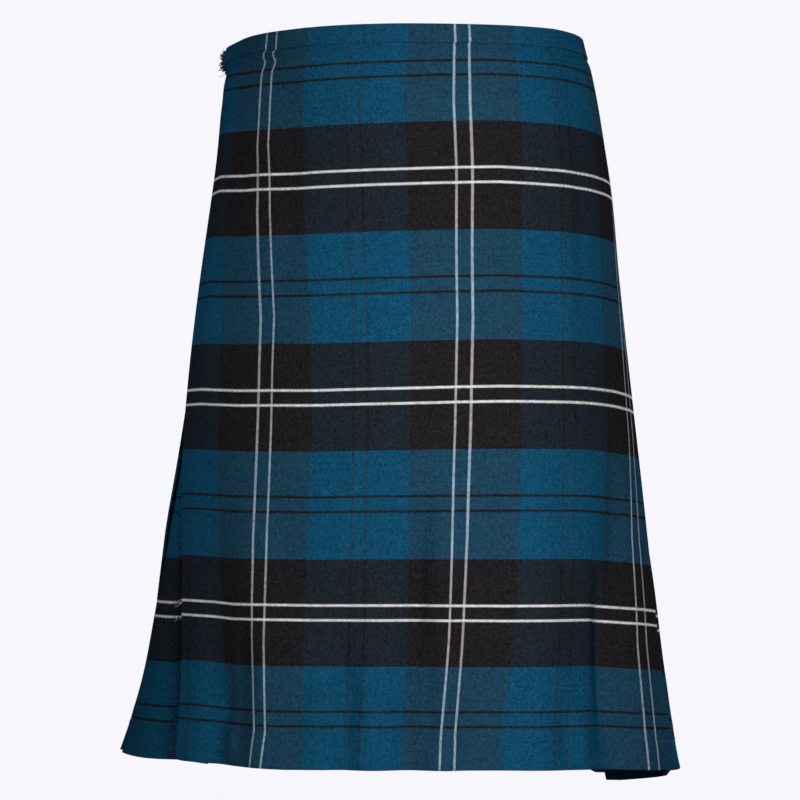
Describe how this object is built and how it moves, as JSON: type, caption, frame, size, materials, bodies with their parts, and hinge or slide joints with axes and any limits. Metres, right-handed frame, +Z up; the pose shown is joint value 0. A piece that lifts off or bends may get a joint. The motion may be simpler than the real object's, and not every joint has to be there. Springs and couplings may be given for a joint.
{
  "type": "worn scottish kilt",
  "caption": "Worn wrap-around kilt: flat fringed front apron over an under apron, knife-pleated back, narrow waistband and buckled hip straps.",
  "frame": {"origin": "centre of the waist opening, level with the waistband's top edge", "axes": "+Z up along the body, -Y to the front (the apron faces -Y), +X to the wearer's left"},
  "size_m": [0.4757, 0.3899, 0.6214],
  "materials": {
    "tartan": "brushed wool twill in a blue and black check with white overcheck lines",
    "fringe_yarn": "loose wool yarn",
    "black_leather": "smooth black strap leather",
    "polished_steel": "polished steel"
  },
  "bodies": {
    "root": {"over_apron": "tartan", "back_pleats": "tartan", "under_apron": "tartan", "waistband_front": "tartan", "waistband_back": "tartan", "waistband_under": "tartan", "apron_fringe": "fringe_yarn", "strap_left": "black_leather", "strap_tab_left": "black_leather", "strap_keeper_left": "black_leather", "buckle_left": "polished_steel", "buckle_prong_left": "polished_steel", "strap_right": "black_leather", "strap_tab_right": "black_leather", "strap_keeper_right": "black_leather", "buckle_right": "polished_steel", "buckle_prong_right": "polished_steel"}
  },
  "joints": []
}
